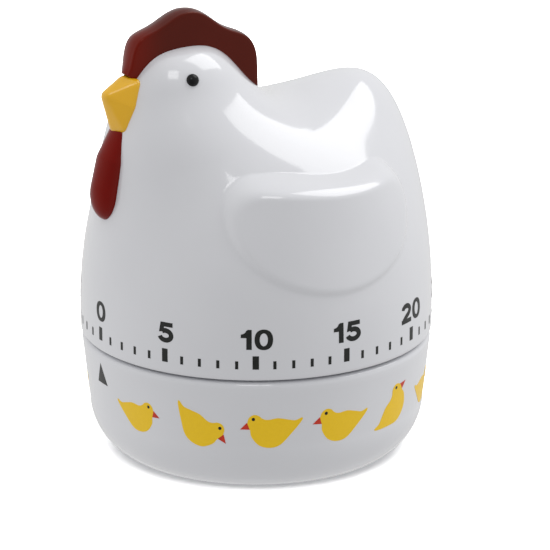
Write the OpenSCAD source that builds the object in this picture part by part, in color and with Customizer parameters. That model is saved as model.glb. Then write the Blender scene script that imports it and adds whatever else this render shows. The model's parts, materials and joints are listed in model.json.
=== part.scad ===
// Hen-shaped sixty minute kitchen timer: the hen turns on a round base and drives a spring movement.
// Frame: +Z up, origin at the middle of the base's underside, the hen faces -Y.

/* [Base] */
// Radius of the flat underside
foot_r = 28; // [26:0.5:30]
// Radius of the base wall just above its rounded foot
base_wall_r = 34.3; // [33:0.1:36]
// Rounding radius of the base's foot
foot_round = 11.6; // [9:0.2:14]
// Height of the base's top edge
base_top_z = 24.3; // [22:0.1:27]
// Wall thickness of both plastic shells
wall = 2; // [1.5:0.1:3]

/* [Hen] */
// Radius of the hen's lower rim, where the minute scale is
hen_r = 36; // [34:0.1:38]
// Height of the hen's lower edge
hen_bottom_z = 24.75; // [24:0.05:27]
// Height of the middle of the head
head_z = 68.1; // [66:0.1:72]
// Distance of the head in front of the turning axis
head_forward = 18.1; // [15:0.1:20]
// How far the back rises into the tail
tail_rise = 24.1; // [16:0.1:30]
// Spread of the tail to each side
tail_spread = 19.2; // [16:0.1:28]
// How far the wing pads stand out at their top edge
wing_lift = 3.1; // [1.5:0.1:3.6]
// Half thickness of the comb
comb_half = 2.4; // [1.8:0.1:3]
// Radius of the bead eyes
eye_r = 1.3; // [0.8:0.1:2]

/* [Movement] */
// Module of the main wheel's teeth
main_module = 0.5; // [0.5:0.1:0.8]
// Module of the second wheel's teeth
second_module = 0.4; // [0.35:0.05:0.6]
// Module of the third wheel's teeth
third_module = 0.35; // [0.3:0.05:0.5]
// Play taken off each tooth at the pitch circle
tooth_play = 0.09; // [0.05:0.01:0.15]
// Radial play of the arbors in the plates
pivot_play = 0.05; // [0.02:0.01:0.1]
// Radius of the bell's rim
bell_r = 19.5; // [16:0.5:21]

/* [Hidden] */
$fn = 48;
eps = 0.01;

// hen form
body_z = 29.4;
body_top = 43.2;
body_bottom = 60;
body_power = 2.36;
tail_at = 31.2;
tail_curve = 2.17;
head_half = [9.8, 11.6, 17.8];
head_power = 3;
neck_low = [0, -6.5, 36.8];
neck_low_r = 14.4;
neck_high_r = 12.2;
head_blend = 3;
neck_blend = 13.9;
wing_top_z = 63.7;
wing_mid_z = 60;
wing_depth = 18.9;
wing_half_angle = 42.3;
wing_corner = 5.3;
columns = 64;
turn_z = 46;
outer_low_rows = 14;
outer_high_rows = 34;
inner_low_rows = 8;
inner_high_rows = 17;
top_angle = 86;

// movement levels
plate_t = 1.2;
lower_z = 14;
lower_top = lower_z + plate_t;
upper_z = 33;
upper_top = upper_z + plate_t;
lower_plate_r = 27.8;
upper_plate_r = 26;
spring_z = 16;
spring_h = 6;
cam_z = 22.8;
main_z = 24.6;
ratchet_z = 26.4;
second_z = 28;
third_z = 29.9;
escape_z = 31.2;
carrier_z = 38;
arbor_r = 2.5;
pivot_r = 0.8;

// teeth
main_teeth = 60;
second_teeth = 56;
third_teeth = 50;
pinion_teeth = 10;
escape_teeth = 18;
escape_r = 6;

// arbor places, as distance from the turning axis and angle
main_gap = main_module * (main_teeth + pinion_teeth) / 2;
second_gap = second_module * (second_teeth + pinion_teeth) / 2;
third_gap = third_module * (third_teeth + pinion_teeth) / 2;
ring_r = 19;
second_at = [0, main_gap];
third_angle = 90 - acos((pow(main_gap, 2) + pow(ring_r, 2) - pow(second_gap, 2)) / (2 * main_gap * ring_r));
third_at = polar(ring_r, third_angle);
escape_angle = third_angle - 2 * asin(third_gap / (2 * ring_r));
escape_at = polar(ring_r, escape_angle);
pallet_gap = 9.2;
pallet_angle = escape_angle - 2 * asin(pallet_gap / (2 * ring_r));
pallet_at = polar(ring_r, pallet_angle);
hammer_angle = -120;
hammer_r = 24;
hammer_at = polar(hammer_r, hammer_angle);
striker_at = polar(22.2, -98);
boss_r = 25;
boss_angles = [60, 180, 300];
pillar_ring_r = 23.5;
pillar_angles = [-45, 140, 200];
stop_r = 18;
stop_angle = 180;
stop_step = 5;

// Which sub-part to draw

// ---- small helpers ----
function clamp01(v) = min(1, max(0, v));
function ease(v) = let (c = clamp01(v)) c * c * (3 - 2 * c);
function join(a, b, k) = let (h = clamp01(0.5 + 0.5 * (b - a) / k)) b * (1 - h) + a * h - k * h * (1 - h);
function direction(a, b) = atan2(b[1] - a[1], b[0] - a[0]);
function polar(r, a) = r * [cos(a), sin(a)];

module at(place, z = 0) {
    translate([place[0], place[1], z])
        children();
}

module disc(r, z, h) {
    translate([0, 0, z])
        cylinder(r = r, h = h);
}

// a straight bar from a to b, with round ends
module bar(a, b, width, z, h) {
    at(a, z)
        cylinder(r = width / 2, h = h);
    at(b, z)
        cylinder(r = width / 2, h = h);
    at(a, z)
        rotate([0, 0, direction(a, b)])
            translate([0, -width / 2, 0])
                cube([norm(b - a), width, h]);
}

// ---- the hen's outer form: a rounded body that rises into the tail, joined smoothly to neck and head ----
function body_gap(p) =
    let (
        rho = norm([p[0], p[1]]),
        dz = p[2] - body_z,
        rise = tail_rise * pow(max(0, p[1]) / tail_at, tail_curve) * exp(-pow(p[0] / tail_spread, 2)),
        reach = dz > 0 ? body_top + rise : body_bottom
    )
    (pow(pow(rho / hen_r, body_power) + pow(abs(dz) / reach, body_power), 1 / body_power) - 1) * hen_r * 0.8;

function head_gap(p) =
    let (
        plan = norm([p[0] / head_half[0], (p[1] + head_forward) / head_half[1]]),
        rise = abs(p[2] - head_z) / head_half[2]
    )
    (pow(pow(plan, head_power) + pow(rise, head_power), 1 / head_power) - 1) * min(head_half);

function neck_gap(p) =
    let (
        top = [0, -head_forward, head_z - 1],
        span = top - neck_low,
        t = clamp01(((p - neck_low) * span) / (span * span))
    )
    norm(p - neck_low - span * t) - (neck_low_r + (neck_high_r - neck_low_r) * t);

function form_gap(p) =
    join(body_gap(p), join(head_gap(p), neck_gap(p), head_blend), neck_blend);

// height of the wing pad at p: a half-disc with a flat top edge on each side, thickest along that edge
function wing_pad(p) =
    let (
        angle = atan2(p[1], abs(p[0])),
        turn = abs(angle + 0.5) / wing_half_angle,
        below = max(0, wing_mid_z - p[2]) / wing_depth,
        from_side = wing_depth * (1 - pow(pow(turn, 1.9) + pow(below, 1.9), 1 / 1.9)),
        from_top = wing_top_z + 0.65 * cos(4.74 * (angle + 27)) - p[2],
        grow = pow(clamp01((p[2] - wing_mid_z + wing_depth) / 21), 2.2),
        rolled = clamp01(join(from_top, from_side, wing_corner) / (1.6 + 2.6 * grow))
    )
    wing_lift * (0.18 + 0.82 * grow) * (1 - 0.5 * min(1, turn * turn)) * (1 - pow(1 - rolled, 2.4));

// first crossing along a ray, by halving
function crossing(o, d, level, winged, near, far, n) =
    let (
        mid = (near + far) / 2,
        p = o + d * mid,
        gap = form_gap(p) - level - (winged ? wing_pad(p) : 0)
    )
    n == 0 ? p
        : gap > 0 ? crossing(o, d, level, winged, near, mid, n - 1)
        : crossing(o, d, level, winged, mid, far, n - 1);

function low_point(z, a, level, winged) = crossing([0, 0, z], [cos(a), sin(a), 0], level, winged, 5, 55, 16);
function high_point(e, a, level, winged) =
    crossing([0, 0, turn_z], [cos(e) * cos(a), cos(e) * sin(a), sin(e)], level, winged, 5, 55, 16);

function skin(level, winged, low_rows, high_rows) = [
    for (i = [0:low_rows - 1])
        for (j = [0:columns - 1])
            let (z = hen_bottom_z + (turn_z - hen_bottom_z) * i / low_rows)
            low_point(z, -90 + 360 * j / columns, level, winged),
    for (i = [0:high_rows])
        for (j = [0:columns - 1])
            high_point(top_angle * i / high_rows, -90 + 360 * j / columns, level, winged),
    high_point(90, 0, level, winged),
];

function wrap(j) = (j + 1) % columns;
function side_faces(first, rows, flip) = [
    for (i = [0:rows - 2])
        for (j = [0:columns - 1])
            let (
                a = first + i * columns + j,
                b = first + i * columns + wrap(j),
                c = b + columns,
                d = a + columns
            )
            each (flip ? [[a, b, c], [a, c, d]] : [[a, c, b], [a, d, c]]),
    for (j = [0:columns - 1])
        let (
            a = first + (rows - 1) * columns + j,
            b = first + (rows - 1) * columns + wrap(j),
            apex = first + rows * columns
        )
        flip ? [a, b, apex] : [a, apex, b],
];

module hen_shell() {
    outer_rows = outer_low_rows + outer_high_rows + 1;
    inner_rows = inner_low_rows + inner_high_rows + 1;
    outer = skin(0, true, outer_low_rows, outer_high_rows);
    inner = skin(-wall, false, inner_low_rows, inner_high_rows);
    start = outer_rows * columns + 1;
    rim = [
        for (j = [0:columns - 1])
            each [[j, wrap(j), start + wrap(j)], [j, start + wrap(j), start + j]],
    ];
    color([0.93, 0.93, 0.94])
        polyhedron(
            points = concat(outer, inner),
            faces = concat(side_faces(0, outer_rows, false), side_faces(start, inner_rows, true), rim),
            convexity = 8
        );
}

// ---- comb, beak, wattle and eyes ----
function hump(a, middle, size, spread) = size * exp(-pow((a - middle) / spread, 2));
function comb_outer(a) =
    18 - 2.2 * ease((a - 118) / 25) + hump(a, 84, 3.6, 21) + hump(a, 41, 3, 17) + hump(a, 120, 1.5, 13);
function comb_inner(a) = 13.1 + 5.5 * exp(-a / 15);
comb_start = 6;
comb_end = 141;
comb_steps = 54;
edge_steps = 4;
crown_steps = 4;
comb_edge = 0.55;
comb_crown = 0.3;
comb_middle = [0.2 - head_forward, head_z + 3.9];

function comb_section(a) =
    let (
        t = abs(a - (comb_start + comb_end) / 2) / ((comb_end - comb_start) / 2),
        half = comb_half * (1 - 0.35 * pow(t, 8)),
        side = half - comb_edge,
        out = comb_outer(a),
        edge = out - comb_crown - comb_edge
    )
    [
        [comb_inner(a), -half],
        for (i = [0:edge_steps])
            let (b = -90 + 90 * i / edge_steps)
            [edge + comb_edge * cos(b), -side + comb_edge * sin(b)],
        for (i = [1:crown_steps - 1])
            let (across = 2 * i / crown_steps - 1)
            [out - comb_crown * across * across, side * across],
        for (i = [0:edge_steps])
            let (b = 90 * i / edge_steps)
            [edge + comb_edge * cos(b), side + comb_edge * sin(b)],
        [comb_inner(a), half],
    ];

module comb() {
    per = 2 * edge_steps + crown_steps + 3;
    points = [
        for (i = [0:comb_steps])
            let (a = comb_start + (comb_end - comb_start) * i / comb_steps)
            for (s = comb_section(a))
                [s[1], comb_middle[0] + s[0] * cos(a), comb_middle[1] + s[0] * sin(a)],
    ];
    sides = [
        for (i = [0:comb_steps - 1])
            for (k = [0:per - 1])
                let (
                    a = i * per + k,
                    b = i * per + (k + 1) % per,
                    c = b + per,
                    d = a + per
                )
                each [[a, b, c], [a, c, d]],
    ];
    first = [for (k = [0:per - 1]) per - 1 - k];
    last = [for (k = [0:per - 1]) comb_steps * per + k];
    color([0.35, 0.07, 0.05])
        polyhedron(points = points, faces = concat(sides, [first, last]), convexity = 8);
}

// a ball stretched to three half sizes
module pebble(place, half) {
    translate(place)
        scale(half)
            sphere(r = 1, $fn = 32);
}

module beak() {
    color([0.86, 0.63, 0.14])
        hull() {
            for (side = [-1, 1]) {
                pebble([side * 2.05, -28.35, 79.6], [1.25, 1.3, 1.45]);
                pebble([side * 2.4, -29.6, 75.6], [1.4, 1.3, 1.8]);
                pebble([side * 1.95, -31.15, 71.8], [1.3, 1.25, 1.45]);
            }
            pebble([0, -30.1, 80.05], [1.55, 1.4, 1.45]);
            pebble([0, -33.5, 77.7], [1.6, 1.55, 1.5]);
            pebble([0, -31.95, 71.35], [1.45, 1.35, 1.25]);
        }
}

module wattle() {
    color([0.42, 0.05, 0.04])
        hull() {
            pebble([0, -34.3, 57.8], [3.5, 3.3, 5.4]);
            pebble([0, -32.9, 64.2], [3.6, 3.2, 3.5]);
            pebble([0, -31.3, 70], [2.6, 1.9, 1.5]);
        }
}

module eyes() {
    color([0.05, 0.05, 0.05])
        for (side = [-1, 1])
            translate([side * 8.68, -head_forward - 1.36, head_z + 12.96])
                sphere(r = eye_r);
}

// ---- base shell ----
foot_in = base_wall_r - foot_round;
foot_top = sqrt(pow(foot_round, 2) - pow(foot_r - foot_in, 2));
function foot_point(t, inset) =
    let (b = asin(foot_top / foot_round) * (1 - t))
    [foot_in + (foot_round - inset) * cos(b), foot_top - (foot_round - inset) * sin(b)];

module base_profile() {
    steps = 10;
    outer = [for (i = [0:steps]) foot_point(i / steps, 0)];
    inner = [for (i = [steps:-1:0]) foot_point(i / steps, wall)];
    polygon(concat(
        [[0, 0]],
        outer,
        [
            [hen_r - 0.2, base_top_z - 0.4],
            [hen_r - 0.6, base_top_z],
            [33.2, base_top_z],
            [33.2, 27],
            [31.6, 27],
            [31.6, 21.4],
            [33.3, 19.6],
        ],
        [for (p = inner) [min(p[0], base_wall_r - wall), max(p[1], wall)]],
        [[0, wall]]
    ));
}

module base_shell() {
    slots = 6;
    color([0.92, 0.92, 0.93])
        difference() {
            union() {
                rotate_extrude()
                    base_profile();
                disc(3.5, wall - eps, 9.4 - wall + eps);
                for (a = boss_angles)
                    rotate([0, 0, a])
                        translate([boss_r, 0, wall - eps])
                            cylinder(r = 3.2, h = lower_z - wall + eps);
            }
            disc(1.2, 3.5, 8);
            for (a = boss_angles)
                rotate([0, 0, a])
                    translate([boss_r, 0, 0]) {
                        translate([0, 0, -1])
                            cylinder(r = 1.6, h = lower_z + 2);
                        translate([0, 0, -1])
                            cylinder(r = 2.8, h = 2.6);
                    }
            for (i = [0:slots - 1])
                rotate([0, 0, 360 * i / slots])
                    translate([8, -0.8, -1])
                        cube([9, 1.6, wall + 2]);
        }
}

module bell() {
    steps = 10;
    drop = 5.7;
    top_z = 10.2;
    t = 0.8;
    flat_r = 6;
    inner_flat_r = 5.6;
    outer = [
        for (i = [0:steps])
            let (b = 90 * i / steps)
            [flat_r + (bell_r - flat_r) * sin(b), top_z - drop * (1 - cos(b))],
    ];
    inner = [
        for (i = [steps:-1:0])
            let (b = 90 * i / steps)
            [inner_flat_r + (bell_r - inner_flat_r - t) * sin(b), top_z - t - (drop - t) * (1 - cos(b))],
    ];
    color([0.75, 0.76, 0.78])
        rotate_extrude()
            polygon(concat([[1.4, top_z]], outer, inner, [[1.4, top_z - t]]));
}

module bell_screw() {
    color([0.7, 0.7, 0.72])
        difference() {
            union() {
                disc(1.2, 4.5, 5.7 + eps);
                disc(2.6, 10.2, 1.5);
            }
            translate([-3, -0.3, 11.1])
                cube([6, 0.6, 2]);
        }
}

// ---- plates and fasteners ----
module pivot_holes(z, extra) {
    for (place = [second_at, third_at, escape_at, pallet_at])
        at(place, z - 1)
            cylinder(r = pivot_r + pivot_play, h = plate_t + 2);
    at(hammer_at, z - 1)
        cylinder(r = 1 + pivot_play, h = plate_t + 2);
    disc(extra + pivot_play, z - 1, plate_t + 2);
}

module lower_plate() {
    color([0.78, 0.66, 0.35])
        difference() {
            disc(lower_plate_r, lower_z, plate_t);
            pivot_holes(lower_z, 1.5);
            for (a = boss_angles)
                rotate([0, 0, a])
                    translate([boss_r, 0, lower_z - 1])
                        cylinder(r = 1.3, h = plate_t + 2);
        }
}

module upper_plate() {
    color([0.78, 0.66, 0.35])
        difference() {
            disc(upper_plate_r, upper_z, plate_t);
            pivot_holes(upper_z, arbor_r);
            for (a = pillar_angles)
                rotate([0, 0, a])
                    translate([pillar_ring_r, 0, upper_z - 1])
                        cylinder(r = 1.2, h = plate_t + 2);
        }
}

module plate_pillars() {
    color([0.72, 0.6, 0.32])
        for (a = pillar_angles)
            rotate([0, 0, a])
                translate([pillar_ring_r, 0, lower_top])
                    difference() {
                        cylinder(r = 2, h = upper_z - lower_top);
                        translate([0, 0, upper_z - lower_top - 6])
                            cylinder(r = 1.1, h = 7);
                    }
}

module screw(shank_r, shank, head_r, head) {
    difference() {
        union() {
            translate([0, 0, -shank])
                cylinder(r = shank_r, h = shank + eps);
            cylinder(r = head_r, h = head);
        }
        translate([-head_r - 1, -0.25, head * 0.6])
            cube([2 * head_r + 2, 0.5, head]);
    }
}

module pillar_screws() {
    color([0.7, 0.7, 0.72])
        for (a = pillar_angles)
            rotate([0, 0, a])
                translate([pillar_ring_r, 0, upper_top])
                    screw(1.1, 6, 2, 1.1);
}

module base_screws() {
    color([0.7, 0.7, 0.72])
        for (a = boss_angles)
            rotate([0, 0, a])
                translate([boss_r, 0, 1.6])
                    mirror([0, 0, 1])
                        screw(1.3, lower_top - 1.6, 2.4, 1.2);
}

module mainspring() {
    turns = 7;
    steps = 18;
    strip = 0.35;
    low_r = 3;
    high_r = 13.2;
    count = turns * steps;
    line = [for (i = [0:count]) [low_r + (high_r - low_r) * i / count, 200 - 360 * turns + 360 * i / steps]];
    color([0.45, 0.47, 0.5])
        translate([0, 0, spring_z])
            linear_extrude(height = spring_h)
                polygon(concat(
                    [for (p = line) p[0] * [cos(p[1]), sin(p[1])]],
                    [for (i = [count:-1:0]) (line[i][0] + strip) * [cos(line[i][1]), sin(line[i][1])]]
                ));
}

module spring_post() {
    color([0.72, 0.6, 0.32])
        rotate([0, 0, 200])
            translate([14.7, 0, lower_top])
                cylinder(r = 1.2, h = 7.2);
}

module stop_pin() {
    color([0.7, 0.7, 0.72])
        rotate([0, 0, stop_angle])
            translate([stop_r, 0, upper_top])
                cylinder(r = 0.7, h = 2.8);
}

// ---- wheels ----
function involute(base_r, r) = let (t = sqrt(max(0, pow(r / base_r, 2) - 1))) t * 180 / PI - atan(t);

// one tooth outline: half angle at radius r, for a tooth of given thickness at the pitch circle
function half_angle(m, teeth, r, play) =
    let (pitch_r = m * teeth / 2, base_r = pitch_r * cos(20), flank_r = max(r, base_r))
    90 / teeth - play / pitch_r * 90 / PI + involute(base_r, pitch_r) - involute(base_r, flank_r);

module gear_outline(m, teeth, tip_part, root_part, first_angle, play) {
    pitch_r = m * teeth / 2;
    root_r = pitch_r - root_part * m;
    tip_r = pitch_r + tip_part * m;
    flank_start = max(root_r + eps, pitch_r * cos(20));
    steps = 4;
    radii = [root_r, for (i = [0:steps]) flank_start + (tip_r - flank_start) * i / steps];
    n = len(radii);
    polygon([
        for (k = [0:teeth - 1])
            let (middle = first_angle + 360 * k / teeth)
            each concat(
                [for (r = radii) polar(r, middle - half_angle(m, teeth, r, play))],
                [for (i = [n - 1:-1:0]) polar(radii[i], middle + half_angle(m, teeth, radii[i], play))]
            ),
    ]);
}

// a wheel with teeth, a bore and round windows
module wheel(m, teeth, place, z, h, bore, first_angle, windows, window_ring, window_r) {
    at(place, z)
        difference() {
            linear_extrude(height = h)
                gear_outline(m, teeth, 0.6, 1.25, first_angle, tooth_play);
            translate([0, 0, -1])
                cylinder(r = bore, h = h + 2);
            for (i = [0:windows - 1])
                rotate([0, 0, 360 * i / windows + 20])
                    translate([window_ring, 0, -1])
                        cylinder(r = window_r, h = h + 2);
        }
}

// a pinion cut on its arbor
module pinion_arbor(m, place, z, h, first_angle, low, high) {
    at(place, low)
        cylinder(r = pivot_r, h = high - low);
    at(place, z)
        linear_extrude(height = h)
            gear_outline(m, pinion_teeth, 1, 0.9, first_angle, tooth_play);
}

half_pinion = 180 / pinion_teeth;
to_second = direction([0, 0], second_at);
to_third = direction(second_at, third_at);
to_escape = direction(third_at, escape_at);

module main_arbor() {
    color([0.6, 0.62, 0.65])
        difference() {
            union() {
                disc(1.5, 13.2, 2.31);
                disc(arbor_r, 15.5, 27.2);
            }
            translate([1.9, -4, 37.5])
                cube([4, 8, 8]);
            disc(1.2, 36.5, 8);
        }
}

module main_wheel() {
    color([0.82, 0.68, 0.33])
        wheel(main_module, main_teeth, [0, 0], main_z, 1.5, arbor_r, to_second, 5, 10.2, 2.6);
}

module ratchet_wheel() {
    teeth = 16;
    tip = 6;
    root = 5;
    color([0.6, 0.62, 0.65])
        translate([0, 0, ratchet_z])
            linear_extrude(height = 0.9)
                difference() {
                    polygon([
                        for (k = [0:teeth - 1])
                            each [
                                root * [cos(360 * k / teeth), sin(360 * k / teeth)],
                                tip * [cos(360 * (k + 0.12) / teeth), sin(360 * (k + 0.12) / teeth)],
                            ],
                    ]);
                    circle(r = arbor_r);
                }
}

click_at = [-3.5, -9.6];

module click() {
    color([0.6, 0.62, 0.65])
        difference() {
            union() {
                bar(click_at, [1.2, -6.9], 1.4, ratchet_z, 0.9);
                at(click_at, ratchet_z)
                    cylinder(r = 1.5, h = 0.9);
            }
            at(click_at, ratchet_z - 1)
                cylinder(r = 0.6, h = 3);
        }
}

module click_rivet() {
    color([0.82, 0.68, 0.33])
        at(click_at, 0) {
            translate([0, 0, main_z + 1.5])
                cylinder(r = 0.6, h = 1.3);
            translate([0, 0, ratchet_z + 0.9])
                cylinder(r = 1, h = 0.3);
        }
}

module click_spring() {
    color([0.45, 0.47, 0.5])
        translate([0, 0, ratchet_z - 0.3])
            linear_extrude(height = 0.6)
                intersection() {
                    difference() {
                        circle(r = 11.9);
                        circle(r = 11.5);
                    }
                    polygon([[0, 0], [-18, -9], [-18, -18], [0, -18]]);
                }
}

module notch_cam() {
    color([0.82, 0.68, 0.33])
        difference() {
            disc(12, cam_z, 1);
            disc(arbor_r, cam_z - 1, 3);
            rotate([0, 0, hammer_angle])
                translate([10.4, -1.5, cam_z - 1])
                    cube([4, 3, 3]);
        }
}

module second_arbor() {
    color([0.6, 0.62, 0.65])
        pinion_arbor(main_module, second_at, 24.2, 2.3, to_second + 180 + half_pinion, lower_z, upper_top);
}

module second_wheel() {
    color([0.82, 0.68, 0.33])
        wheel(second_module, second_teeth, second_at, second_z, 1, pivot_r, to_third, 5, 6.6, 2.2);
}

module third_arbor() {
    color([0.6, 0.62, 0.65])
        pinion_arbor(second_module, third_at, 27.6, 1.8, to_third + 180 + half_pinion, lower_z, upper_top);
}

module third_wheel() {
    color([0.82, 0.68, 0.33])
        wheel(third_module, third_teeth, third_at, third_z, 0.9, pivot_r, to_escape, 5, 5, 1.7);
}

module escape_arbor() {
    color([0.6, 0.62, 0.65])
        pinion_arbor(third_module, escape_at, 29.5, 1.5, to_escape + 180 + half_pinion, lower_z, upper_top);
}

module escape_wheel() {
    color([0.82, 0.68, 0.33])
        at(escape_at, escape_z)
            linear_extrude(height = 0.9)
                difference() {
                    polygon([
                        for (k = [0:escape_teeth - 1])
                            each [
                                polar(4.6, 360 * k / escape_teeth),
                                polar(escape_r, 360 * (k + 0.4) / escape_teeth),
                                polar(escape_r, 360 * (k + 0.5) / escape_teeth),
                            ],
                    ]);
                    circle(r = pivot_r);
                }
}

// ---- balance and striker ----
module pallet_arbor() {
    color([0.6, 0.62, 0.65])
        at(pallet_at, lower_z)
            cylinder(r = pivot_r, h = upper_top - lower_z);
}

module pallet_fork() {
    back = direction(escape_at, pallet_at);
    color([0.6, 0.62, 0.65])
        difference() {
            union() {
                at(pallet_at, escape_z)
                    cylinder(r = 1.7, h = 0.9);
                for (side = [-1, 1])
                    bar(pallet_at, escape_at + polar(7, back + side * 30), 0.9, escape_z, 0.9);
            }
            at(pallet_at, escape_z - 1)
                cylinder(r = pivot_r, h = 3);
        }
}

module balance_bar() {
    across = pallet_angle + 90;
    reach = 4.6 * [cos(across), sin(across)];
    color([0.82, 0.68, 0.33])
        difference() {
            union() {
                bar(pallet_at - reach, pallet_at + reach, 1.6, 17, 1);
                for (side = [-1, 1])
                    at(pallet_at + side * reach, 17)
                        cylinder(r = 1.3, h = 2);
                at(pallet_at, 17)
                    cylinder(r = 1.6, h = 1.6);
            }
            at(pallet_at, 16)
                cylinder(r = pivot_r, h = 4);
        }
}

module hammer_arbor() {
    color([0.6, 0.62, 0.65])
        at(hammer_at, 12)
            cylinder(r = 1, h = upper_top - 12);
}

module hammer() {
    color([0.6, 0.62, 0.65])
        difference() {
            union() {
                bar(hammer_at, striker_at, 2, 12.2, 1.2);
                at(hammer_at, 12.2)
                    cylinder(r = 2, h = 1.2);
                at(striker_at, 5.5)
                    cylinder(r = 1.8, h = 7.9);
            }
            at(hammer_at, 11)
                cylinder(r = 1, h = 4);
        }
}

module hammer_lever() {
    color([0.6, 0.62, 0.65])
        difference() {
            union() {
                bar(hammer_at, 13.2 * [cos(hammer_angle), sin(hammer_angle)], 1.6, cam_z + 0.1, 0.8);
                at(hammer_at, cam_z + 0.1)
                    cylinder(r = 2, h = 0.8);
            }
            at(hammer_at, cam_z - 1)
                cylinder(r = 1, h = 3);
        }
}

// ---- dial carrier ----
carrier_r = 33.2;

module dial_carrier() {
    windows = 6;
    color([0.88, 0.88, 0.86])
        difference() {
            union() {
                disc(carrier_r, carrier_z, 1.6);
                disc(6, carrier_z, 4.7);
                rotate([0, 0, stop_angle - stop_step])
                    translate([stop_r - 1, -0.5, upper_top + 1])
                        cube([2, 1, carrier_z - upper_top]);
            }
            difference() {
                disc(arbor_r, carrier_z - 1, 8);
                translate([1.9, -4, carrier_z - 2])
                    cube([4, 8, 12]);
            }
            for (i = [0:windows - 1])
                rotate([0, 0, 360 * (i + 0.5) / windows])
                    translate([23, 0, carrier_z - 1])
                        cylinder(r = 7, h = 4);
        }
}

module carrier_screw() {
    color([0.7, 0.7, 0.72])
        translate([0, 0, 42.7])
            screw(1.2, 5.7, 2.8, 1.4);
}

base_shell();
bell();
bell_screw();
lower_plate();
upper_plate();
plate_pillars();
pillar_screws();
base_screws();
mainspring();
spring_post();
stop_pin();
hen_shell();
comb();
beak();
wattle();
eyes();
dial_carrier();
carrier_screw();
main_arbor();
main_wheel();
ratchet_wheel();
click();
click_rivet();
click_spring();
notch_cam();
second_arbor();
second_wheel();
third_arbor();
third_wheel();
escape_arbor();
escape_wheel();
pallet_arbor();
pallet_fork();
balance_bar();
hammer_arbor();
hammer();
hammer_lever();
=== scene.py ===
"""Hen-shaped sixty minute kitchen timer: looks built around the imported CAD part.

Lengths are in mm until a mesh is made. Places round the timer are in degrees from +X: the front is -90.
"""

import json
import math

import bmesh
import bpy
import numpy as np
from mathutils import Matrix, Vector


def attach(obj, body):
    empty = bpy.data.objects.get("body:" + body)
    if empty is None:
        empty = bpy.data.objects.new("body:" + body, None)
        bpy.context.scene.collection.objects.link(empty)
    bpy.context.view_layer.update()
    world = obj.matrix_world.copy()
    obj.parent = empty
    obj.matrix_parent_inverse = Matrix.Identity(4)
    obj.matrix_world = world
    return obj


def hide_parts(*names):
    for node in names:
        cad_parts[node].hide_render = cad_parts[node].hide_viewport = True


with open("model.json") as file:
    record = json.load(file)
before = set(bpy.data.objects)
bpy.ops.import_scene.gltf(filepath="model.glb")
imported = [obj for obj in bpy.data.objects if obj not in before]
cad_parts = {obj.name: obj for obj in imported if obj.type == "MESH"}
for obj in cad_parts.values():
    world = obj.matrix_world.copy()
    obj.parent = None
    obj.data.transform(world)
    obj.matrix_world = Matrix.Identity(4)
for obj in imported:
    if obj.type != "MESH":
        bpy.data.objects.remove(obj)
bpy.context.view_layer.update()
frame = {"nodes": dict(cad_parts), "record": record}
MM = 0.001

# sizes shared with part.scad
HEN_R = 36.0
HEN_BOTTOM = 24.75
BASE_TOP = 24.3
WALL = 2.0
HEAD = np.array([0.0, -18.1, 68.1])
HEAD_HALF = np.array([9.8, 11.6, 17.8])
HEAD_POWER = 3.0
NECK_LOW = np.array([0.0, -6.5, 36.8])
NECK_TOP = HEAD - np.array([0.0, 0.0, 1.0])
NECK_R = (14.4, 12.2)
HEAD_BLEND, NECK_BLEND = 3.0, 13.9
BODY_Z, BODY_TOP, BODY_BOTTOM, BODY_POWER = 29.4, 43.2, 60.0, 2.36
TAIL_RISE, TAIL_SPREAD, TAIL_AT, TAIL_CURVE = 24.1, 19.2, 31.2, 2.17
COMB_MIDDLE = HEAD + np.array([0.0, 0.2, 3.9])
COMB_START, COMB_END, COMB_HALF = 6, 141, 2.4
WING_TOP, WING_MID, WING_DEPTH, WING_ANGLE = 63.7, 60.0, 18.9, 42.3
WING_LIFT, WING_CORNER = 3.1, 5.3
WING_FILLET = 0.07
TURN_Z = 46.0
FOOT_R, FOOT_ROUND, BASE_WALL_R = 28.0, 11.6, 34.3
BASE_TOP_R = HEN_R - 0.2
FOOT_IN = BASE_WALL_R - FOOT_ROUND
BOSS_ANGLES, BOSS_RING_R, SLOT_COUNT = (60, 180, 300), 25, 6
FOOT_TOP = math.sqrt(FOOT_ROUND ** 2 - (FOOT_R - FOOT_IN) ** 2)
SCALE_Z = 27.3
FRONT = -90


# ---------------------------------------------------------------- form of the hen
def ease(v):
    c = np.clip(v, 0, 1)
    return c * c * (3 - 2 * c)


def join(a, b, k):
    """The smaller of two gaps, with a smooth change over a width k where they are alike."""
    h = np.clip(0.5 + 0.5 * (b - a) / k, 0, 1)
    return b * (1 - h) + a * h - k * h * (1 - h)


def head(p):
    q = (p - HEAD) / HEAD_HALF
    plan = np.hypot(q[..., 0], q[..., 1])
    return ((plan ** HEAD_POWER + np.abs(q[..., 2]) ** HEAD_POWER) ** (1 / HEAD_POWER) - 1) * HEAD_HALF.min()


def form(p):
    """Negative inside the hen: a rounded body that rises into the tail, joined to the neck and head."""
    rho = np.hypot(p[..., 0], p[..., 1])
    dz = p[..., 2] - BODY_Z
    backward = (np.maximum(0, p[..., 1]) / TAIL_AT) ** TAIL_CURVE
    rise = TAIL_RISE * backward * np.exp(-(p[..., 0] / TAIL_SPREAD) ** 2)
    reach = np.where(dz > 0, BODY_TOP + rise, BODY_BOTTOM)
    share = ((rho / HEN_R) ** BODY_POWER + (np.abs(dz) / reach) ** BODY_POWER) ** (1 / BODY_POWER)
    body = (share - 1) * HEN_R * 0.8
    span = NECK_TOP - NECK_LOW
    t = np.clip(((p - NECK_LOW) @ span) / (span @ span), 0, 1)
    off_axis = np.linalg.norm(p - NECK_LOW - t[..., None] * span, axis=-1)
    neck = off_axis - (NECK_R[0] + (NECK_R[1] - NECK_R[0]) * t)
    return join(body, join(head(p), neck, HEAD_BLEND), NECK_BLEND)


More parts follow.
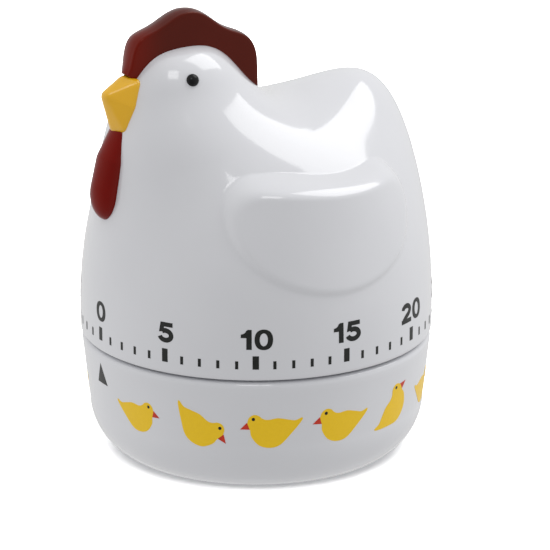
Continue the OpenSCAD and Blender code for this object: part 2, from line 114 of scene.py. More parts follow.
def wing(p):
    """Height of the wing pad: a half-disc with a flat top edge on each side, thickest along that edge."""
    angle = np.degrees(np.arctan2(p[..., 1], np.abs(p[..., 0])))
    turn = np.abs(angle + 0.5) / WING_ANGLE
    below = np.maximum(0, WING_MID - p[..., 2]) / WING_DEPTH
    from_side = WING_DEPTH * (1 - (turn ** 1.9 + below ** 1.9) ** (1 / 1.9))
    from_top = WING_TOP + 0.65 * np.cos(np.radians(4.74 * (angle + 27))) - p[..., 2]
    grow = np.clip((p[..., 2] - WING_MID + WING_DEPTH) / 21, 0, 1) ** 2.2
    rolled = np.clip(join(from_top, from_side, WING_CORNER) / (1.6 + 2.6 * grow), 0, 1)
    rolled = rolled * rolled * (1 + WING_FILLET) / (rolled + WING_FILLET)
    fuller_middle = 1 - 0.5 * np.minimum(1, turn * turn)
    return WING_LIFT * (0.18 + 0.82 * grow) * fuller_middle * (1 - (1 - rolled) ** 2.4)


NEAREST, FARTHEST, HALVINGS = 5.0, 58.0, 26


def crossing(origin, way, level=0.0, winged=True):
    """Where rays from inside leave the hen's form, by halving."""
    near = np.full(way.shape[:-1], NEAREST)
    far = np.full(way.shape[:-1], FARTHEST)
    for _ in range(HALVINGS):
        mid = (near + far) / 2
        p = origin + way * mid[..., None]
        out = form(p) - level - (wing(p) if winged else 0) > 0
        far = np.where(out, mid, far)
        near = np.where(out, near, mid)
    return origin + way * near[..., None]


def hen_point(angle, z, lift=0.0):
    """A point of the hen's side at an angle in degrees and a height, lifted off the surface."""
    a = np.radians(np.asarray(angle, float))
    z = np.asarray(z, float)
    way = np.stack([np.cos(a), np.sin(a), np.zeros_like(a)], -1)
    origin = np.stack([np.zeros_like(z), np.zeros_like(z), z], -1)
    return crossing(origin, way) + way * lift


def base_radius(z):
    """The base's outer radius at a height: a rounded foot, then a wall that leans out a little."""
    z = np.asarray(z, float)
    arc = FOOT_IN + np.sqrt(np.maximum(FOOT_ROUND ** 2 - (FOOT_TOP - np.minimum(z, FOOT_TOP)) ** 2, 0))
    slope = (BASE_TOP_R - BASE_WALL_R) / (BASE_TOP - 0.4 - FOOT_TOP)
    return np.where(z < FOOT_TOP, arc, BASE_WALL_R + slope * (z - FOOT_TOP))


def base_point(angle, z, lift=0.0):
    a = np.radians(np.asarray(angle, float))
    r = base_radius(z) + lift
    return np.stack([r * np.cos(a), r * np.sin(a), np.asarray(z, float)], -1)


# ---------------------------------------------------------------- meshes
def make(name, points, faces, smooth=True):
    mesh = bpy.data.meshes.new(name)
    mesh.from_pydata((np.asarray(points, float) * MM).tolist(), [], faces)
    mesh.validate()
    mesh.polygons.foreach_set("use_smooth", [smooth] * len(mesh.polygons))
    piece = bpy.data.objects.new(name, mesh)
    bpy.context.scene.collection.objects.link(piece)
    return piece


def from_bmesh(name, bm, smooth=True):
    mesh = bpy.data.meshes.new(name)
    bm.to_mesh(mesh)
    bm.free()
    mesh.polygons.foreach_set("use_smooth", [smooth] * len(mesh.polygons))
    piece = bpy.data.objects.new(name, mesh)
    bpy.context.scene.collection.objects.link(piece)
    return piece


def apply_modifiers(piece):
    bpy.context.view_layer.update()
    graph = bpy.context.evaluated_depsgraph_get()
    mesh = bpy.data.meshes.new_from_object(piece.evaluated_get(graph))
    piece.modifiers.clear()
    piece.data = mesh
    return piece


def grid_faces(first, rows, columns, flip=False):
    faces = []
    for i in range(rows - 1):
        for j in range(columns):
            k = (j + 1) % columns
            a, b = first + i * columns + j, first + i * columns + k
            face = (a, b, b + columns, a + columns)
            faces.append(face[::-1] if flip else face)
    return faces


def lathe(name, profile, columns=256):
    """A closed turned piece: the profile runs from the axis round to the axis."""
    angles = np.radians(np.arange(columns) * 360 / columns)
    inner = profile[1:-1]
    points = [[0, 0, profile[0][1]]]
    for r, z in inner:
        points += [[r * math.cos(a), r * math.sin(a), z] for a in angles]
    points.append([0, 0, profile[-1][1]])
    faces = grid_faces(1, len(inner), columns)
    last = 1 + (len(inner) - 1) * columns
    for j in range(columns):
        k = (j + 1) % columns
        faces.append((0, 1 + k, 1 + j))
        faces.append((last + j, last + k, len(points) - 1))
    return make(name, points, faces)


def hen_mesh():
    """The hollow shell: outer skin with wing pads, rounded lower rim, and inner skin."""
    columns, rim_round, rim_steps = 288, 0.8, 9
    angles = np.radians(FRONT + np.arange(columns) * 360 / columns)
    flat = np.stack([np.cos(angles), np.sin(angles), np.zeros(columns)], -1)
    straight_up = np.array([0.0, 0.0, 1.0])

    def skin(level, winged, low_z, low, high):
        rows = []
        for z in low_z + (TURN_Z - low_z) * np.arange(low) / low:
            rows.append(crossing(straight_up * z, flat, level, winged))
        for e in np.radians(np.arange(high) * 89.4 / (high - 1)):
            way = flat * math.cos(e) + straight_up * math.sin(e)
            rows.append(crossing(straight_up * TURN_Z, way, level, winged))
        return rows, crossing(straight_up * TURN_Z, straight_up[None], level, winged)

    outer, outer_top = skin(0.0, True, HEN_BOTTOM + rim_round, 44, 210)
    inner, inner_top = skin(-WALL, False, HEN_BOTTOM, 10, 50)
    rim = []
    for b in np.radians(np.linspace(90, 0, rim_steps, endpoint=False)):
        rim.append(outer[0] - flat * rim_round * (1 - math.cos(b)) - straight_up * rim_round * math.sin(b))
    rows = inner[::-1] + rim + outer
    points = np.concatenate([inner_top] + rows + [outer_top])
    faces = grid_faces(1, len(rows), columns)
    last = 1 + (len(rows) - 1) * columns
    for j in range(columns):
        k = (j + 1) % columns
        faces.append((0, 1 + k, 1 + j))
        faces.append((last + j, last + k, len(points) - 1))
    return make("hen_skin", points, faces)


def comb_outer(a):
    """Distance of the comb's outer edge from its middle: three humps over an even curve."""
    def hump(middle, size, spread):
        return size * math.exp(-((a - middle) / spread) ** 2)
    return 18 - 2.2 * float(ease((a - 118) / 25)) + hump(84, 3.6, 21) + hump(41, 3, 17) + hump(120, 1.5, 13)


def comb_inner(a):
    return 13.1 + 5.5 * math.exp(-a / 15)


def comb_section(a):
    """The section of the comb at an angle, as (distance from its middle, place across)."""
    edge, crown, side_steps = 0.55, 0.3, 6
    t = abs(a - (COMB_START + COMB_END) / 2) / ((COMB_END - COMB_START) / 2)
    half = COMB_HALF * (1 - 0.35 * t ** 8)
    side, out, low = half - edge, comb_outer(a), comb_inner(a)
    rim = out - crown - edge

    def rounded(start, end, middle):
        angles = np.radians(np.linspace(start, end, 7))
        return [(rim + edge * math.cos(b), middle + edge * math.sin(b)) for b in angles]

    up = [low + (rim - low) * k / side_steps for k in range(side_steps)]
    crowned = [(out - crown * u * u, side * u) for u in np.linspace(-1, 1, 11)[1:-1]]
    return ([(r, -half) for r in up] + rounded(-90, 0, -side) + crowned + rounded(0, 90, side)
            + [(r, half) for r in reversed(up)])


def comb_mesh():
    steps = 150
    points = []
    for i in range(steps + 1):
        a = COMB_START + (COMB_END - COMB_START) * i / steps
        c, s = math.cos(math.radians(a)), math.sin(math.radians(a))
        points += [[x, COMB_MIDDLE[1] + r * c, COMB_MIDDLE[2] + r * s] for r, x in comb_section(a)]
    per = len(points) // (steps + 1)
    faces = []
    for i in range(steps):
        for k in range(per):
            a, b = i * per + k, i * per + (k + 1) % per
            faces.append((a, b, b + per, a + per))
    faces.append(tuple(range(per - 1, -1, -1)))
    faces.append(tuple(steps * per + k for k in range(per)))
    piece = make("comb_shape", points, faces)
    bevel = piece.modifiers.new("edge", "BEVEL")
    bevel.width, bevel.segments, bevel.limit_method = 0.5 * MM, 3, "ANGLE"
    bevel.angle_limit = math.radians(50)
    return apply_modifiers(piece)


def pebble_hull(name, pebbles, voxel, smooth):
    """The rounded body stretched over a few ovals, remeshed evenly and smoothed."""
    bm = bmesh.new()
    for place, half in pebbles:
        oval_form = Matrix.Translation(Vector(place) * MM) @ Matrix.Diagonal((*(Vector(half) * MM), 1))
        bmesh.ops.create_icosphere(bm, subdivisions=4, radius=1, matrix=oval_form)
    bmesh.ops.convex_hull(bm, input=bm.verts, use_existing_faces=False)
    bmesh.ops.delete(bm, geom=[v for v in bm.verts if not v.link_faces], context="VERTS")
    piece = from_bmesh(name, bm)
    remesh = piece.modifiers.new("even", "REMESH")
    remesh.mode, remesh.voxel_size = "VOXEL", voxel * MM
    soft = piece.modifiers.new("soft", "SMOOTH")
    soft.factor, soft.iterations = 0.5, smooth
    apply_modifiers(piece)
    piece.data.polygons.foreach_set("use_smooth", [True] * len(piece.data.polygons))
    return piece


def eye_mesh(side):
    """A domed bead with a fine rim, standing on the hen's face."""
    spot = np.array([side * 9.07, -19.54, 81.27])
    normal = Vector((side * 0.864, -0.172, 0.474)).normalized()
    turn = normal.to_track_quat("Z", "Y").to_matrix().to_4x4()
    radius, dome, columns = 1.25, 0.8, 48
    profile = [(0, -1.0), (radius + 0.02, -1.0), (radius + 0.02, -0.02), (radius, 0.08)]
    profile += [(x, 0.08 + z) for x, z in arc(0, 0, radius, dome, 10, 82, 9)]
    profile.append((0, 0.08 + dome))
    piece = lathe("eye_bead_" + ("left" if side > 0 else "right"), profile, columns)
    piece.data.transform(Matrix.Translation(Vector(spot * MM)) @ turn)
    return piece


def base_mesh():
    """The hollow base: a turned bowl with a bell post, three screw bosses and six sound slots."""
    foot = [(FOOT_IN + FOOT_ROUND * math.cos(b), FOOT_TOP - FOOT_ROUND * math.sin(b))
            for b in np.linspace(math.asin(FOOT_TOP / FOOT_ROUND), 0, 26)]
    lip = 1.25
    wall_top = [(float(base_radius(z)), z) for z in np.linspace(FOOT_TOP + 1, BASE_TOP - lip, 12)]
    edge_r = float(base_radius(BASE_TOP - lip))
    lip_arc = [(edge_r - lip + lip * math.cos(b), BASE_TOP - lip + lip * math.sin(b))
               for b in np.linspace(0.2, math.pi / 2, 7)]
    collar = [(33.2, BASE_TOP), (33.2, 26.8), (33.0, 27), (31.8, 27), (31.6, 26.8), (31.6, 21.4),
              (33.3, 19.6)]
    inner_round = FOOT_ROUND - WALL
    inside = [(FOOT_IN + inner_round * math.cos(b), max(FOOT_TOP - inner_round * math.sin(b), WALL))
              for b in np.linspace(0, math.asin(FOOT_TOP / FOOT_ROUND), 16)]
    foot_edge = [(FOOT_R - 0.5, 0.0), (FOOT_R - 0.1, 0.06)]
    profile = [(0, 0), (6, 0), (20, 0)] + foot_edge + foot[1:] + wall_top + lip_arc + collar + inside
    profile += [(4.0, WALL), (3.5, WALL + 0.4), (3.5, 9.4), (0, 9.4)]
    piece = lathe("base_body", profile, 288)
    for a in BOSS_ANGLES:
        add_boolean(piece, upright("boss", a, 3.2, 1.6, 14.0), "UNION")
        add_boolean(piece, upright("hole", a, 1.6, -1.0, 16.0), "DIFFERENCE")
        add_boolean(piece, upright("hole", a, 2.8, -1.0, 1.6), "DIFFERENCE")
    for i in range(SLOT_COUNT):
        slot = bmesh.new()
        turned = Matrix.Rotation(math.radians(360 / SLOT_COUNT * i), 4, "Z")
        outward = Matrix.Translation(Vector((12.5, 0, 0.5)) * MM)
        size = Matrix.Diagonal((9 * MM, 1.6 * MM, 5 * MM, 1))
        bmesh.ops.create_cube(slot, size=1, matrix=turned @ outward @ size)
        add_boolean(piece, from_bmesh("slot", slot), "DIFFERENCE")
    return piece


def upright(name, angle, radius, low, high):
    """An upright cylinder on the ring of the base's screws."""
    bm = bmesh.new()
    x, y = BOSS_RING_R * math.cos(math.radians(angle)), BOSS_RING_R * math.sin(math.radians(angle))
    middle = Matrix.Translation(Vector((x, y, (high + low) / 2)) * MM)
    bmesh.ops.create_cone(bm, cap_ends=True, segments=48, radius1=radius * MM, radius2=radius * MM,
                          depth=(high - low) * MM, matrix=middle)
    return from_bmesh(name, bm)


def add_boolean(piece, tool, kind):
    step = piece.modifiers.new("cut", "BOOLEAN")
    step.object, step.operation, step.solver = tool, kind, "EXACT"
    apply_modifiers(piece)
    bpy.data.objects.remove(tool)


# ---------------------------------------------------------------- prints
PRINT_R = 35.5


def print_mesh(name, outlines, surface, step=0.8, thick=0.05, lift=0.03):
    """Flat inked shapes wrapped on a turned surface. Each outline is a list of loops of (arc length, height)
    about its own middle angle: the first loop is the shape, the others are holes."""
    joined = bmesh.new()
    for layer, (angle, loops) in enumerate(outlines):
        bm = bmesh.new()
        edges = []
        for loop in loops:
            verts = [bm.verts.new((x, z, 0)) for x, z in loop]
            edges += [bm.edges.new((verts[i], verts[(i + 1) % len(verts)])) for i in range(len(verts))]
        bmesh.ops.triangle_fill(bm, use_beauty=True, use_dissolve=False, edges=edges, normal=(0, 0, 1))
        xs = [v.co.x for v in bm.verts]
        zs = [v.co.y for v in bm.verts]
        for lo, hi, way in ((min(xs), max(xs), (1, 0, 0)), (min(zs), max(zs), (0, 1, 0))):
            count = int((hi - lo) / step)
            for i in range(1, count + 1):
                where = Vector(way) * (lo + (hi - lo) * i / (count + 1))
                everything = bm.verts[:] + bm.edges[:] + bm.faces[:]
                bmesh.ops.bisect_plane(bm, geom=everything, plane_co=where, plane_no=way)
        for f in bm.faces:
            if f.normal.z < 0:
                f.normal_flip()
        keys = bm.verts[:]
        mids = np.array([(v.co.x, v.co.y) for v in keys])
        angles = angle + np.degrees(mids[:, 0] / PRINT_R)
        high = surface(angles, mids[:, 1], lift + 0.004 * (layer % 3)) * MM
        low = surface(angles, mids[:, 1], -thick) * MM
        base = {v: joined.verts.new(p) for v, p in zip(keys, low)}
        top = {v: joined.verts.new(p) for v, p in zip(keys, high)}
        for f in bm.faces:
            vs = [l.vert for l in f.loops]
            joined.faces.new([top[v] for v in vs])
            joined.faces.new([base[v] for v in reversed(vs)])
        for e in bm.edges:
            if len(e.link_faces) == 1:
                loop = e.link_loops[0]
                a, b = loop.vert, loop.link_loop_next.vert
                joined.faces.new([top[a], base[a], base[b], top[b]])
        bm.free()
    return from_bmesh(name, joined, smooth=False)


def arc(cx, cz, rx, rz, start, end, n):
    """Points along a stretch of an ellipse, from one angle to another."""
    return [(cx + rx * math.cos(math.radians(start + (end - start) * i / n)),
             cz + rz * math.sin(math.radians(start + (end - start) * i / n))) for i in range(n + 1)]


def band(path, width):
    """The outline of a pen stroke of even width along a path."""
    p = np.array(path, float)
    d = np.gradient(p, axis=0)
    d /= np.linalg.norm(d, axis=1)[:, None]
    n = np.stack([-d[:, 1], d[:, 0]], -1) * width / 2
    return [tuple(q) for q in p + n] + [tuple(q) for q in (p - n)[::-1]]


H = 4.1       # figure height
PEN = 1.0     # stroke width
WIDE = 3.5    # width of every figure but 1 and 4
FIGURE_Z = SCALE_Z + 4.1


def figure(d):
    """A plain figure's strokes and its width. Each stroke is a list of loops, in a box H high from x = 0."""
    h, t, w = H, PEN, WIDE
    if d == "0":
        w += 0.1
        turn = np.linspace(0, 2 * math.pi, 48, endpoint=False)
        outer = [(w / 2 + w / 2 * math.copysign(abs(math.cos(a)) ** 0.85, math.cos(a)),
                  h / 2 + (h / 2 + 0.05) * math.copysign(abs(math.sin(a)) ** 0.9, math.sin(a))) for a in turn]
        hole = [(w / 2 + (w / 2 - t) * math.cos(a), h / 2 + (h / 2 - t * 0.72) * math.sin(a)) for a in turn]
        return [[outer, hole]], w
    if d == "1":
        w = 2.15
        stem = w - t * 1.05
        flag = arc(0, h + 0.02, stem, 1.0, -15, -88, 8)
        return [[[(stem, 0), (w, 0), (w, h), (w - 0.75, h)] + flag + [(0, h - 1.7), (stem, h - 1.7)]]], w
    if d == "2":
        bowl = arc(w / 2, h - 1.33, w / 2 - t / 2, 1.36 - t / 2, 172, -28, 22)
        tail = [(w * 0.72, 1.95), (w * 0.43, 1.3), (w * 0.22, 0.75), (w * 0.17, 0.3)]
        foot = box_loop(0, w, 0, t * 0.9)
        return [[band(bowl + tail, t)], [foot]], w
    if d == "3":
        up = arc(w / 2 - 0.08, h - 1.17, w / 2 - t / 2 - 0.06, 1.22 - t / 2, 168, -84, 20)
        down = arc(w / 2 - 0.04, 1.26, w / 2 - t / 2 + 0.02, 1.32 - t / 2, 84, -168, 22)
        return [[band(up, t)], [band(down, t)], [box_loop(w * 0.36, w * 0.55, 1.95, 2.75)]], w
    if d == "4":
        w += 0.15
        right = w - 0.5
        stem = box_loop(right - t, right, 0, h)
        bar = box_loop(0, w, 0.92, 0.92 + t * 0.86)
        low = 0.92 + t * 0.8
        slope = [(0, low), (0.95, low), (right - t, h - 1.05), (right - t, h), (right - t - 0.3, h)]
        return [[stem], [bar], [slope]], w
    bowl = arc(w / 2 - 0.08, 1.42, w / 2 - t / 2 + 0.05, 1.5 - t / 2, 126, -165, 26)
    top = box_loop(0.55, w - 0.25, h - t * 0.9, h)
    side = [(0.55, h), (0.55 + t * 0.9, h), (0.5 + t * 0.7, 2.15), (0.2, 2.0)]
    return [[band(bowl, t)], [top], [side]], w


def numbers():
    """The figures 0 to 55, one every five minutes."""
    shapes = []
    gap, aside = 0.55, 0.22
    for k in range(12):
        glyphs = [figure(c) for c in str(5 * k)]
        x = aside - (sum(w for _, w in glyphs) + gap * (len(glyphs) - 1)) / 2
        for strokes, w in glyphs:
            for loops in strokes:
                placed = [[(x + px, FIGURE_Z + pz) for px, pz in loop] for loop in loops]
                shapes.append((FRONT + 30 * k, placed))
            x += w + gap
    return shapes


def box_loop(x0, x1, z0, z1):
    return [(x0, z0), (x1, z0), (x1, z1), (x0, z1)]


def ticks():
    shapes = []
    for m in range(60):
        long = m % 5 == 0
        w, h = (1.25, 2.76) if long else (0.62, 1.66)
        shapes.append((FRONT + 6 * m, [box_loop(-w / 2, w / 2, SCALE_Z, SCALE_Z + h)]))
    return shapes


def curve_loop(points, n=6):
    """A smooth closed curve through a few points."""
    p = np.array(points, float)
    out = []
    for i in range(len(p)):
        a, b, c, d = p[i - 1], p[i], p[(i + 1) % len(p)], p[(i + 2) % len(p)]
        for k in range(n):
            t = k / n
            bend = (2 * a - 5 * b + 4 * c - d) * t ** 2 + (3 * b - a - 3 * c + d) * t ** 3
            out.append(tuple(0.5 * (2 * b + (c - a) * t + bend)))
    return out


CHICK_BODY = [(-4.3, 0.2), (-4.0, -1.3), (-2.5, -3.1), (-0.3, -3.7), (1.9, -3.1), (4.1, -0.8), (6.2, 1.8),
              (6.3, 2.6), (4.9, 2.1), (3.3, 2.4), (1.3, 2.75), (-0.6, 2.45), (-1.7, 2.7), (-2.6, 3.4),
              (-3.7, 3.5), (-4.6, 2.7), (-4.8, 1.3)]
CHICK_BEAK = [(-6.3, 0.35), (-4.35, 0.35), (-4.9, 1.85)]
CHICK_EYE = arc(-3.6, 2.6, 0.34, 0.36, 0, 340, 17)
CHICK_SPACING = 24
CHICK_FIRST = FRONT + 17
CHICK_COUNT = 14
CHICK_Z = SCALE_Z - 13.4
# turn, mirrored, size
CHICK_POSES = [(-3, True, 0.93), (31, True, 1.0), (0, False, 1.0), (-4, False, 1.0), (-52, True, 0.97)]


def place(loop, turn, flip):
    """A loop turned in its own plane and, if asked, mirrored."""
    c, s = math.cos(math.radians(turn)), math.sin(math.radians(turn))
    out = []
    for x, z in loop:
        x, z = x * c - z * s, x * s + z * c
        out.append((-x if flip else x, z))
    return out[::-1] if flip else out


def chicks():
    """The chicks' bodies, beaks and eyes round the base. The pointer stands between the last and first."""
    bodies, beaks, eyes = [], [], []
    for i in range(CHICK_COUNT):
        turn, flip, size = CHICK_POSES[i % len(CHICK_POSES)]
        angle = CHICK_FIRST + CHICK_SPACING * i
        for shapes, loop in ((bodies, curve_loop(CHICK_BODY)), (beaks, CHICK_BEAK), (eyes, CHICK_EYE)):
            shapes.append((angle, [[(x * size, CHICK_Z + z * size) for x, z in place(loop, turn, flip)]]))
    return bodies, beaks, eyes


# ---------------------------------------------------------------- materials
def node(tree, kind, **values):
    made = tree.nodes.new(kind)
    for key, value in values.items():
        setattr(made, key, value)
    return made


def ramp(tree, source, stops):
    made = node(tree, "ShaderNodeValToRGB")
    while len(made.color_ramp.elements) < len(stops):
        made.color_ramp.elements.new(0.5)
    for element, (where, colour) in zip(made.color_ramp.elements, stops):
        element.position = where
        element.color = colour if len(colour) == 4 else (*colour, 1)
    tree.links.new(source, made.inputs["Fac"])
    return made.outputs["Color"]


def noise(tree, scale, detail=3.0, roughness=0.5, stretch=None):
    coords = node(tree, "ShaderNodeTexCoord")
    source = coords.outputs["Object"]
    if stretch:
        mapping = node(tree, "ShaderNodeMapping")
        mapping.inputs["Scale"].default_value = stretch
        tree.links.new(source, mapping.inputs["Vector"])
        source = mapping.outputs["Vector"]
    made = node(tree, "ShaderNodeTexNoise")
    made.inputs["Scale"].default_value = scale
    made.inputs["Detail"].default_value = detail
    made.inputs["Roughness"].default_value = roughness
    tree.links.new(source, made.inputs["Vector"])
    return made.outputs["Fac"]


def shader(name):
    material = bpy.data.materials.new(name)
    material.use_nodes = True
    tree = material.node_tree
    return material, tree, tree.nodes["Principled BSDF"]


def bumps(tree, bsdf, source, strength, distance):
    bump = node(tree, "ShaderNodeBump")
    bump.inputs["Strength"].default_value = strength
    bump.inputs["Distance"].default_value = distance
    tree.links.new(source, bump.inputs["Height"])
    tree.links.new(bump.outputs["Normal"], bsdf.inputs["Normal"])


def plastic(name, colour, shade, rough, coat, specular=0.5, tint=(1, 1, 1)):
    """Moulded plastic: faint cloudiness in the colour, uneven gloss and a fine moulded ripple."""
    material, tree, bsdf = shader(name)
    tree.links.new(ramp(tree, noise(tree, 60, 4), [(0.3, shade), (0.7, colour)]), bsdf.inputs["Base Color"])
    gloss = node(tree, "ShaderNodeMapRange")
    gloss.inputs["To Min"].default_value, gloss.inputs["To Max"].default_value = rough
    tree.links.new(noise(tree, 240, 5, 0.6), gloss.inputs["Value"])
    tree.links.new(gloss.outputs["Result"], bsdf.inputs["Roughness"])
    bumps(tree, bsdf, noise(tree, 900, 2), 0.25, 0.00002)
    bsdf.inputs["IOR"].default_value = 1.53
    bsdf.inputs["Specular IOR Level"].default_value = specular
    bsdf.inputs["Specular Tint"].default_value = (*tint, 1)
    bsdf.inputs["Coat Weight"].default_value = coat
    bsdf.inputs["Coat Roughness"].default_value = 0.06
    return material


def painted_glow_to_front(material, colour, start, end):
    """Painted glow: the base colour turns towards a redder one between two places along Y, standing in for
    light let through the thin moulding where it narrows.
    """
    tree = material.node_tree
    target = tree.nodes["Principled BSDF"].inputs["Base Color"]
    parts = node(tree, "ShaderNodeSeparateXYZ")
    tree.links.new(node(tree, "ShaderNodeTexCoord").outputs["Object"], parts.inputs[0])
    amount = node(tree, "ShaderNodeMapRange", interpolation_type="SMOOTHSTEP")
    amount.inputs["From Min"].default_value, amount.inputs["From Max"].default_value = start, end
    tree.links.new(parts.outputs["Y"], amount.inputs["Value"])
    mix = node(tree, "ShaderNodeMix", data_type="RGBA")
    tree.links.new(amount.outputs["Result"], mix.inputs["Factor"])
    tree.links.new(target.links[0].from_socket, mix.inputs["A"])
    mix.inputs["B"].default_value = (*colour, 1)
    tree.links.new(mix.outputs["Result"], target)


def metal(name, colour, shade, rough=(0.22, 0.4), stretch=(1, 1, 9)):
    """Drawn or stamped metal: fine brushed lines and slightly uneven tarnish."""
    material, tree, bsdf = shader(name)
    tarnish = noise(tree, 160, 5, 0.6)
    tree.links.new(ramp(tree, tarnish, [(0.3, shade), (0.75, colour)]), bsdf.inputs["Base Color"])
    lines = noise(tree, 700, 3, 0.6, stretch)
    gloss = node(tree, "ShaderNodeMapRange")
    gloss.inputs["To Min"].default_value, gloss.inputs["To Max"].default_value = rough
    tree.links.new(lines, gloss.inputs["Value"])
    tree.links.new(gloss.outputs["Result"], bsdf.inputs["Roughness"])
    bumps(tree, bsdf, lines, 0.15, 0.00001)
    bsdf.inputs["Metallic"].default_value = 1.0
    return material


def ink(name, colour, shade, rough=0.32):
    """Pad-printed ink: slightly uneven cover and a satin surface."""
    material, tree, bsdf = shader(name)
    cover = noise(tree, 1500, 4, 0.6)
    tree.links.new(ramp(tree, cover, [(0.3, shade), (0.6, colour)]), bsdf.inputs["Base Color"])
    bumps(tree, bsdf, noise(tree, 3000, 2), 0.1, 0.000005)
    bsdf.inputs["Roughness"].default_value = rough
    bsdf.inputs["Specular IOR Level"].default_value = 0.25
    return material


WHITE = plastic("white_abs", (0.71, 0.715, 0.745), (0.69, 0.695, 0.725), rough=(0.09, 0.15), coat=0.6)
RED = plastic("comb_red", (0.082, 0.0075, 0.004), (0.07, 0.006, 0.0035), rough=(0.1, 0.16), coat=0.0,
              specular=0.24, tint=(1, 0.5, 0.4))
# painted glow: the comb's base colour turns redder towards its front, standing in for light let through the
# moulding
painted_glow_to_front(RED, (0.16, 0.007, 0.003), -0.021, -0.031)
WATTLE_RED = plastic("wattle_red", (0.19, 0.004, 0.003), (0.16, 0.0035, 0.0025), rough=(0.12, 0.2), coat=0.0,
                     specular=0.28, tint=(1, 0.5, 0.4))
YELLOW = plastic("beak_yellow", (0.88, 0.49, 0.012), (0.82, 0.44, 0.01), rough=(0.14, 0.24), coat=0.5,
                 specular=0.4)
BLACK = plastic("eye_black", (0.006, 0.006, 0.007), (0.004, 0.004, 0.004), rough=(0.05, 0.1), coat=0.0,
                specular=0.2)
CARRIER = plastic("carrier", (0.72, 0.72, 0.69), (0.68, 0.68, 0.65), rough=(0.35, 0.5), coat=0.0)
GREY_INK = ink("scale_ink", (0.012, 0.0135, 0.012), (0.018, 0.02, 0.018))
CHICK_INK = ink("chick_ink", (0.92, 0.60, 0.018), (0.89, 0.575, 0.017))
BEAK_INK = ink("chick_beak_ink", (0.62, 0.045, 0.02), (0.52, 0.035, 0.018))
STEEL = metal("steel", (0.60, 0.61, 0.63), (0.5, 0.51, 0.53))
SPRING = metal("spring_steel", (0.30, 0.33, 0.38), (0.22, 0.25, 0.31), stretch=(1, 1, 4))
BRASS = metal("brass", (0.80, 0.60, 0.24), (0.68, 0.50, 0.19), stretch=(9, 1, 1))
ZINC = metal("zinc", (0.66, 0.67, 0.69), (0.56, 0.57, 0.6), rough=(0.25, 0.4))
BELL = metal("bell_plate", (0.72, 0.73, 0.75), (0.66, 0.67, 0.69), rough=(0.08, 0.16))

SLOT_LOOKS = {
    "base_abs": WHITE, "hen_abs": WHITE, "comb_red": RED, "wattle_red": WATTLE_RED, "beak_yellow": YELLOW,
    "eye_black": BLACK, "carrier_plastic": CARRIER, "steel": STEEL, "spring_steel": SPRING, "brass": BRASS,
    "zinc_steel": ZINC, "bell_steel": BELL,
}


def wear(piece, material):
    piece.data.materials.clear()
    piece.data.materials.append(material)
    return piece


for part in frame["record"]["subparts"]:
    wear(frame["nodes"][part["node"]], SLOT_LOOKS[part["material_slot"]])

# ---------------------------------------------------------------- the object
# rounded corners of the beak and the wattle: middle, half sizes
BEAK = [((s * 2.05, -28.35, 79.6), (1.25, 1.3, 1.45)) for s in (-1, 1)]
BEAK += [((s * 2.4, -29.6, 75.6), (1.4, 1.3, 1.8)) for s in (-1, 1)]
BEAK += [((s * 1.95, -31.15, 71.8), (1.3, 1.25, 1.45)) for s in (-1, 1)]
BEAK += [((0, -30.1, 80.05), (1.55, 1.4, 1.45)), ((0, -33.5, 77.7), (1.6, 1.55, 1.5)),
         ((0, -31.95, 71.35), (1.45, 1.35, 1.25))]
WATTLE = [((0, -34.3, 57.8), (3.5, 3.3, 5.4)), ((0, -32.9, 64.2), (3.6, 3.2, 3.5)),
          ((0, -31.3, 70.0), (2.6, 1.9, 1.5))]
POINTER = [(-2.1, 17.6), (2.1, 17.6), (0, 22.0)]
POINTER_ANGLE = FRONT - 1.8

hen = wear(hen_mesh(), WHITE)
comb = wear(comb_mesh(), RED)
beak = wear(pebble_hull("beak_shape", BEAK, 0.12, 40), YELLOW)
wattle = wear(pebble_hull("wattle_shape", WATTLE, 0.14, 10), WATTLE_RED)
eyes = [wear(eye_mesh(side), BLACK) for side in (1, -1)]
base = wear(base_mesh(), WHITE)
figures = wear(print_mesh("scale_figures", numbers(), hen_point), GREY_INK)
marks = wear(print_mesh("scale_ticks", ticks(), hen_point), GREY_INK)
pointer = wear(print_mesh("pointer_mark", [(POINTER_ANGLE, [POINTER])], base_point), GREY_INK)
chick_loops = chicks()
chick_bodies = wear(print_mesh("chick_bodies", chick_loops[0], base_point), CHICK_INK)
chick_beaks = wear(print_mesh("chick_beaks", chick_loops[1], base_point, lift=0.04), BEAK_INK)
chick_eyes = wear(print_mesh("chick_eyes", chick_loops[2], base_point, lift=0.05), GREY_INK)

for piece, cad_node, slot_name in ((hen, "hen_shell", "hen_abs"), (comb, "comb", "comb_red"),
                                   (beak, "beak", "beak_yellow"), (wattle, "wattle", "wattle_red")):
    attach(piece, "dial")
    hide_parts(cad_node)
for piece in eyes:
    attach(piece, "dial")
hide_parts("eyes")
for piece in (figures, marks):
    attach(piece, "dial")
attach(base, "base")
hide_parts("base_shell")
for piece, slot_name in ((pointer, "eye_black"), (chick_bodies, "beak_yellow"),
                         (chick_beaks, "wattle_red"), (chick_eyes, "eye_black")):
    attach(piece, "base")

# ---------------------------------------------------------------- floor, light and camera
AZIMUTH, ELEVATION = math.radians(60.16), math.radians(18.51)
FORWARD = Vector((math.sin(AZIMUTH), -math.cos(AZIMUTH), 0))
BACK = FORWARD * math.cos(ELEVATION) + Vector((0, 0, math.sin(ELEVATION)))
RIGHT = Vector((math.cos(AZIMUTH), math.sin(AZIMUTH), 0))
UP = BACK.cross(RIGHT)
TARGET = Vector((0, 0, SCALE_Z * MM))
DISTANCE = 0.8431
AIM = TARGET + RIGHT * 0.003867 + UP * 0.00749

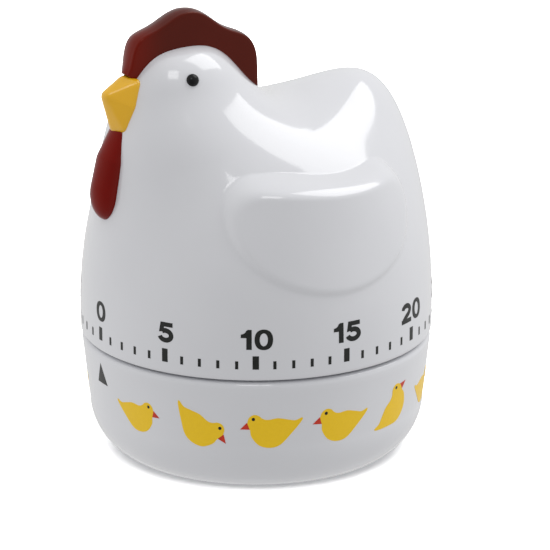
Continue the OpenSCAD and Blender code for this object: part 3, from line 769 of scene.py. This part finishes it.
camera_data = bpy.data.cameras.new("camera")
camera_data.lens, camera_data.sensor_width = 269.0, 36.0
camera_data.clip_start, camera_data.clip_end = 0.05, 20
camera = bpy.data.objects.new("camera", camera_data)
camera.location = TARGET + BACK * DISTANCE
camera.rotation_euler = (camera.location - AIM).to_track_quat("Z", "Y").to_euler()
bpy.context.scene.collection.objects.link(camera)
bpy.context.scene.camera = camera

bm = bmesh.new()
bmesh.ops.create_circle(bm, cap_ends=True, segments=96, radius=4.0)
floor = from_bmesh("floor", bm, smooth=False)
floor_look, floor_tree, floor_bsdf = shader("floor_paper")
paper = ramp(floor_tree, noise(floor_tree, 30, 3), [(0.3, (0.9, 0.9, 0.9)), (0.7, (0.93, 0.93, 0.93))])
floor_tree.links.new(paper, floor_bsdf.inputs["Base Color"])
floor_bsdf.inputs["Roughness"].default_value = 0.6
wear(floor, floor_look)
floor.visible_diffuse = floor.visible_glossy = floor.visible_shadow = False


def lamp(name, way, distance, width, height, power, along=RIGHT):
    """A rectangular soft box that faces the object from a direction; its width runs along a direction."""
    data = bpy.data.lights.new(name, "AREA")
    data.energy, data.shape = power, "RECTANGLE"
    data.size, data.size_y = width, height
    light = bpy.data.objects.new(name, data)
    z = Vector(way).normalized()
    x = (along - z * along.dot(z)).normalized()
    turned = Matrix((x, z.cross(x), z)).transposed().to_4x4()
    light.matrix_world = Matrix.Translation(Vector((0, 0, 0.05)) + z * distance) @ turned
    bpy.context.scene.collection.objects.link(light)
    return light


def from_camera(right, up, back):
    return RIGHT * right + UP * up + BACK * back


lamp("key_box", from_camera(0.546, 0.836, 0.058), 2.5, 1.61, 1.68, 21.5, from_camera(0.794, -0.571, 0.208))
lamp("left_box", from_camera(-0.012, 0.555, 0.832), 2.0, 0.6, 0.6, 3)
paper_light = lamp("paper_light", (0, 0, 1), 1.5, 3.0, 3.0, 130)
only_paper = bpy.data.collections.new("only_paper")
only_paper.objects.link(floor)
paper_light.light_linking.receiver_collection = only_paper

world = bpy.data.worlds.new("studio")
bpy.context.scene.world = world
world.use_nodes = True
sky = world.node_tree
background = sky.nodes["Background"]
background.inputs["Color"].default_value = (1, 1, 1, 1)
toward = node(sky, "ShaderNodeTexCoord").outputs["Generated"]
WHITE_WALLS = [(RIGHT, 0.90), (-RIGHT, 0.94), (FORWARD, 0.42), (-FORWARD, 0.74),
               (Vector((0, 0, 1)), 0.86), (Vector((0, 0, -1)), 0.65)]


def math_step(tree, operation, first, second):
    made = node(tree, "ShaderNodeMath", operation=operation)
    for socket, value in zip(made.inputs, (first, second)):
        if isinstance(value, (int, float)):
            socket.default_value = value
        else:
            tree.links.new(value, socket)
    return made.outputs[0]


# soft light from six sides, each fading evenly away from its own direction
total = 0.0
for axis, level in WHITE_WALLS:
    facing = node(sky, "ShaderNodeVectorMath", operation="DOT_PRODUCT")
    sky.links.new(toward, facing.inputs[0])
    facing.inputs[1].default_value = axis
    lobe = math_step(sky, "POWER", math_step(sky, "MAXIMUM", facing.outputs["Value"], 0.0), 2.0)
    total = math_step(sky, "ADD", math_step(sky, "MULTIPLY", lobe, level), total)
sky.links.new(total, background.inputs["Strength"])
bpy.context.scene.view_settings.view_transform = "Standard"
